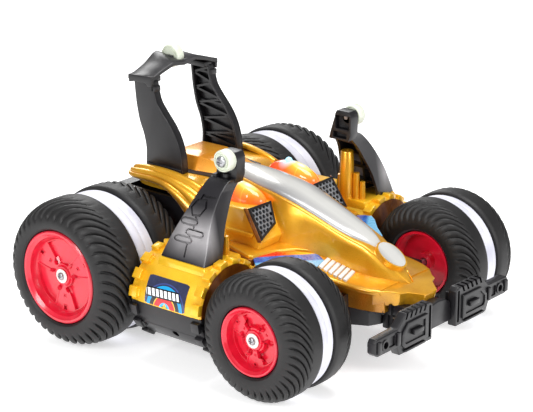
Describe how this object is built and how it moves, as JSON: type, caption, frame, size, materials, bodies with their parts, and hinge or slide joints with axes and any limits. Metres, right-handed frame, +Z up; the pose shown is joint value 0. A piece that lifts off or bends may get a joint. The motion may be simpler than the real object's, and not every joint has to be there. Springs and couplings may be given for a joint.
{
  "type": "radio-controlled stunt car",
  "caption": "Four-wheeled radio-controlled stunt car with twin-tyre wheels, wedge body, roll bar, side pods and roller-tipped side arms.",
  "frame": {"origin": "centre of the car's bounding box, on the ground that the wheels stand on", "axes": "+X forward, +Y to the car's left, +Z up"},
  "size_m": [0.271, 0.2592, 0.1805],
  "materials": {
    "black_plastic": "satin moulded black",
    "gold_shell": "metallic gold lacquer",
    "silver_trim": "pearl silver lacquer",
    "tyre_rubber": "soft black tyre",
    "light_ring": "milky translucent white",
    "red_hub": "glossy red",
    "roller_white": "pale white",
    "bright_steel": "zinc plated",
    "gear_nylon": "natural nylon",
    "amber_lens": "clear amber",
    "blue_lens": "clear blue",
    "board_green": "solder mask",
    "battery_wrap": "shrink wrap"
  },
  "bodies": {
    "chassis": {"battery_pack": "battery_wrap", "blue_light_left": "blue_lens", "blue_light_right": "blue_lens", "body_shell": "gold_shell", "canopy": "silver_trim", "circuit_board": "board_green", "crossbar_pin": "bright_steel", "drive_motor_left": "bright_steel", "drive_motor_right": "bright_steel", "front_axle_screw_left": "bright_steel", "front_axle_screw_right": "bright_steel", "front_bumper": "black_plastic", "front_stub_axle_left": "bright_steel", "front_stub_axle_right": "bright_steel", "intake_grille_left": "black_plastic", "intake_grille_right": "black_plastic", "lamp_lens_left": "amber_lens", "lamp_lens_right": "amber_lens", "lower_tray": "black_plastic", "nose_window": "silver_trim", "pod_lower_left": "black_plastic", "pod_lower_right": "black_plastic", "pod_upper_left": "gold_shell", "pod_upper_right": "gold_shell", "roll_bar_crossbar": "black_plastic", "roll_bar_leg_left": "black_plastic", "roll_bar_leg_right": "black_plastic", "roller_screw_left": "bright_steel", "roller_screw_right": "bright_steel", "side_arm_left": "black_plastic", "side_arm_right": "black_plastic"},
    "rear_wheel_left": {"rear_tyre_outer_left": "tyre_rubber", "rear_tyre_inner_left": "tyre_rubber", "rear_light_ring_left": "light_ring", "rear_hub_left": "red_hub", "rear_axle_screw_left": "bright_steel", "rear_half_shaft_left": "bright_steel", "drive_gear_left": "gear_nylon"},
    "front_wheel_left": {"front_tyre_outer_left": "tyre_rubber", "front_tyre_inner_left": "tyre_rubber", "front_light_ring_left": "light_ring", "front_hub_left": "red_hub"},
    "pinion_left": {"motor_pinion_left": "gear_nylon"},
    "arm_roller_left": {"arm_roller_left": "roller_white"},
    "rear_wheel_right": {"rear_tyre_outer_right": "tyre_rubber", "rear_tyre_inner_right": "tyre_rubber", "rear_light_ring_right": "light_ring", "rear_hub_right": "red_hub", "rear_axle_screw_right": "bright_steel", "rear_half_shaft_right": "bright_steel", "drive_gear_right": "gear_nylon"},
    "front_wheel_right": {"front_tyre_outer_right": "tyre_rubber", "front_tyre_inner_right": "tyre_rubber", "front_light_ring_right": "light_ring", "front_hub_right": "red_hub"},
    "pinion_right": {"motor_pinion_right": "gear_nylon"},
    "arm_roller_right": {"arm_roller_right": "roller_white"},
    "crossbar_roller": {"crossbar_roller": "roller_white"},
    "power_switch": {"power_switch": "black_plastic"},
    "battery_door": {"battery_door": "black_plastic"}
  },
  "joints": [
    {"name": "rear_wheel_left_spin", "type": "hinge", "parent": "chassis", "child": "rear_wheel_left", "pos_m": [-0.0855, 0, 0.05], "axis": [0, 1, 0], "continuous": true},
    {"name": "front_wheel_left_spin", "type": "hinge", "parent": "chassis", "child": "front_wheel_left", "pos_m": [0.0695, 0, 0.042], "axis": [0, 1, 0], "continuous": true},
    {"name": "pinion_left_spin", "type": "hinge", "parent": "chassis", "child": "pinion_left", "pos_m": [-0.0691, 0, 0.05], "axis": [0, 1, 0], "continuous": true},
    {"name": "arm_roller_left_spin", "type": "hinge", "parent": "chassis", "child": "arm_roller_left", "pos_m": [0.0079, 0, 0.1345], "axis": [0, 1, 0], "continuous": true},
    {"name": "rear_wheel_right_spin", "type": "hinge", "parent": "chassis", "child": "rear_wheel_right", "pos_m": [-0.0855, 0, 0.05], "axis": [0, 1, 0], "continuous": true},
    {"name": "front_wheel_right_spin", "type": "hinge", "parent": "chassis", "child": "front_wheel_right", "pos_m": [0.0695, 0, 0.042], "axis": [0, 1, 0], "continuous": true},
    {"name": "pinion_right_spin", "type": "hinge", "parent": "chassis", "child": "pinion_right", "pos_m": [-0.0691, 0, 0.05], "axis": [0, 1, 0], "continuous": true},
    {"name": "arm_roller_right_spin", "type": "hinge", "parent": "chassis", "child": "arm_roller_right", "pos_m": [0.0079, 0, 0.1345], "axis": [0, 1, 0], "continuous": true},
    {"name": "crossbar_roller_spin", "type": "hinge", "parent": "chassis", "child": "crossbar_roller", "pos_m": [-0.0975, 0, 0.1725], "axis": [0, 1, 0], "continuous": true},
    {"name": "power_switch_slide", "type": "slide", "parent": "chassis", "child": "power_switch", "axis": [1, 0, 0], "range_m": [0, 0.0038]},
    {"name": "battery_door_hinge", "type": "hinge", "parent": "chassis", "child": "battery_door", "pos_m": [-0.0305, 0, 0.028], "axis": [0, 1, 0], "range_deg": [0, 75]}
  ],
  "couplings": [
    {"joint": "pinion_left_spin", "follows": "rear_wheel_left_spin", "ratio": -3},
    {"joint": "pinion_right_spin", "follows": "rear_wheel_right_spin", "ratio": -3}
  ]
}
